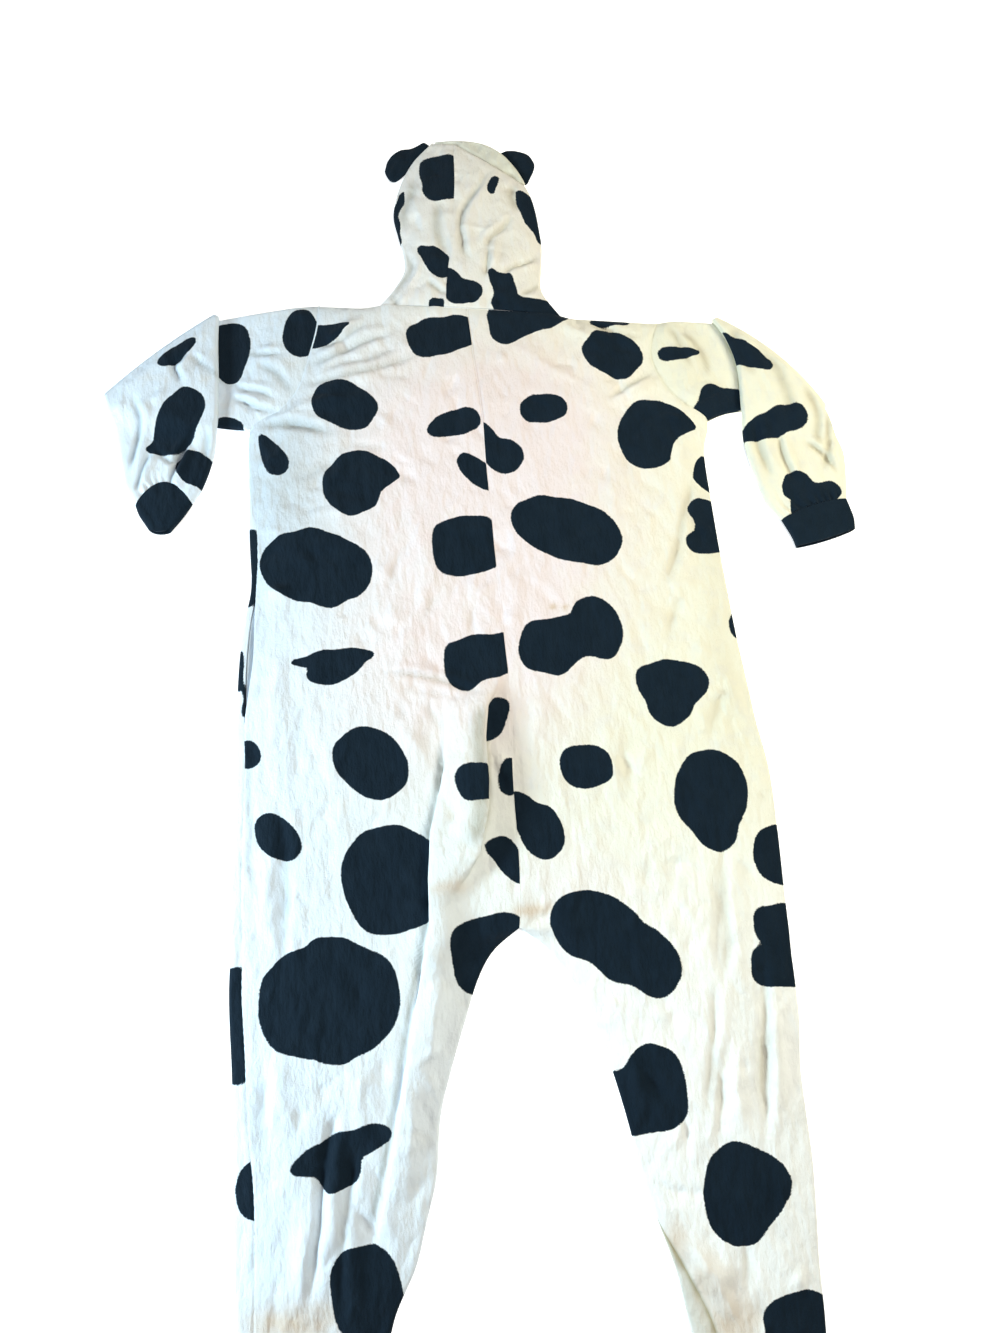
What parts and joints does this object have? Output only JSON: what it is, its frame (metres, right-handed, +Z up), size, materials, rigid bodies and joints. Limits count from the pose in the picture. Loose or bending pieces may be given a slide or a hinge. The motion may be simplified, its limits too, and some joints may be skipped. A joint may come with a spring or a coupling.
{
  "type": "cow onesie",
  "caption": "Hooded one-piece costume of white fleece with black cow patches, ears and cuffs, laid flat with its back up and both sleeves folded over.",
  "frame": {"origin": "middle of the garment's bounding box in the plan, on the surface that it lies on", "axes": "+Z up through the cloth to the back of the garment, +Y from the feet to the hood, +X to the wearer's right"},
  "size_m": [1.0824, 1.875, 0.0331],
  "materials": {
    "fleece_print": "brushed fleece, soft nap, printed with black patches",
    "fleece_black": "brushed fleece, soft nap",
    "pocket_cloth": "thin brushed knit, matt",
    "button": "smooth, matt"
  },
  "bodies": {
    "root": {"back_left": "fleece_print", "back_right": "fleece_print", "front_left": "fleece_print", "front_right": "fleece_print", "pocket_left": "pocket_cloth", "sleeve_left": "fleece_print", "sleeve_right": "fleece_print", "wrist_cuff_left": "fleece_black", "wrist_cuff_right": "fleece_black", "ankle_cuff_left": "fleece_black", "ankle_cuff_right": "fleece_black", "hood_left": "fleece_print", "hood_right": "fleece_print", "hood_rim": "fleece_print", "ear_left": "fleece_black", "ear_right": "fleece_black", "button_1": "button", "button_2": "button", "button_3": "button", "button_4": "button", "button_5": "button"}
  },
  "joints": []
}
